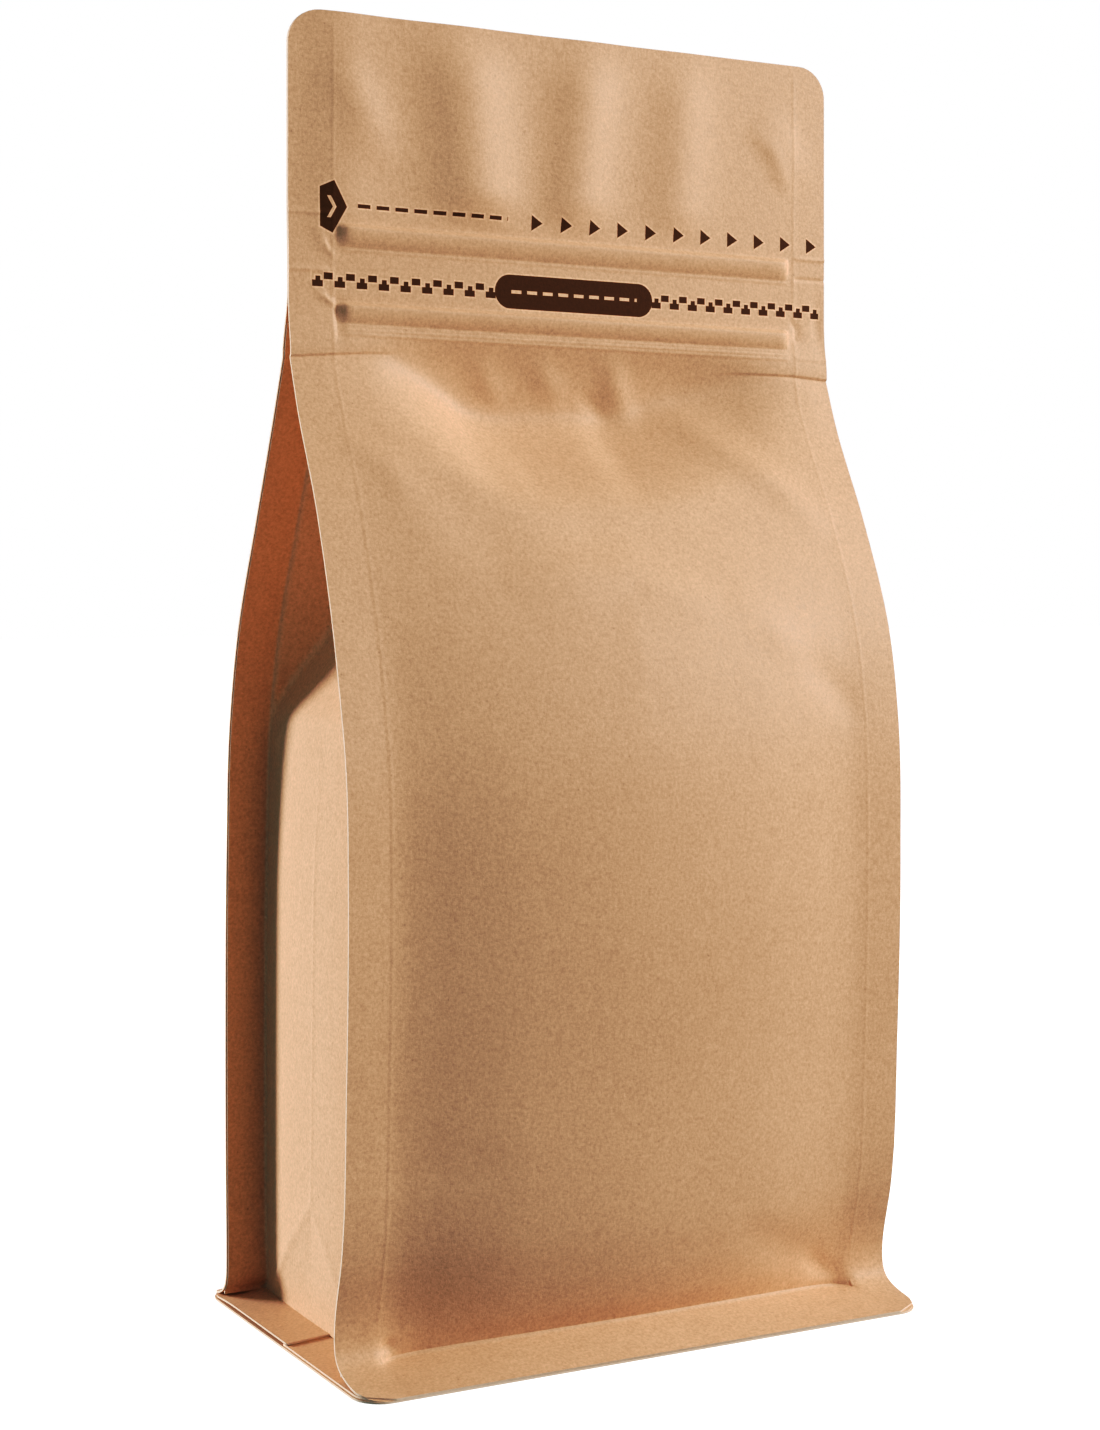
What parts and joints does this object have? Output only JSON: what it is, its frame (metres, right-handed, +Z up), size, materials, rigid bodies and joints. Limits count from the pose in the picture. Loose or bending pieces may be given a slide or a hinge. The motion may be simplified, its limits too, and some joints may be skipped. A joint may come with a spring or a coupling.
{
  "type": "kraft flat-bottom pouch",
  "caption": "Filled and shut kraft paper pouch that stands on a flat base, with folded sides, thin corner seals and a flat head with a zip band.",
  "frame": {"origin": "middle of the base on the ground", "axes": "+Z up to the head, -Y out of the printed front, X across the width"},
  "size_m": [0.135, 0.0876, 0.281],
  "materials": {
    "kraft_sheet": "matt brown kraft paper laminate with fine fibres and dark brown plain print"
  },
  "bodies": {
    "root": {"pouch": "kraft_sheet"}
  },
  "joints": []
}
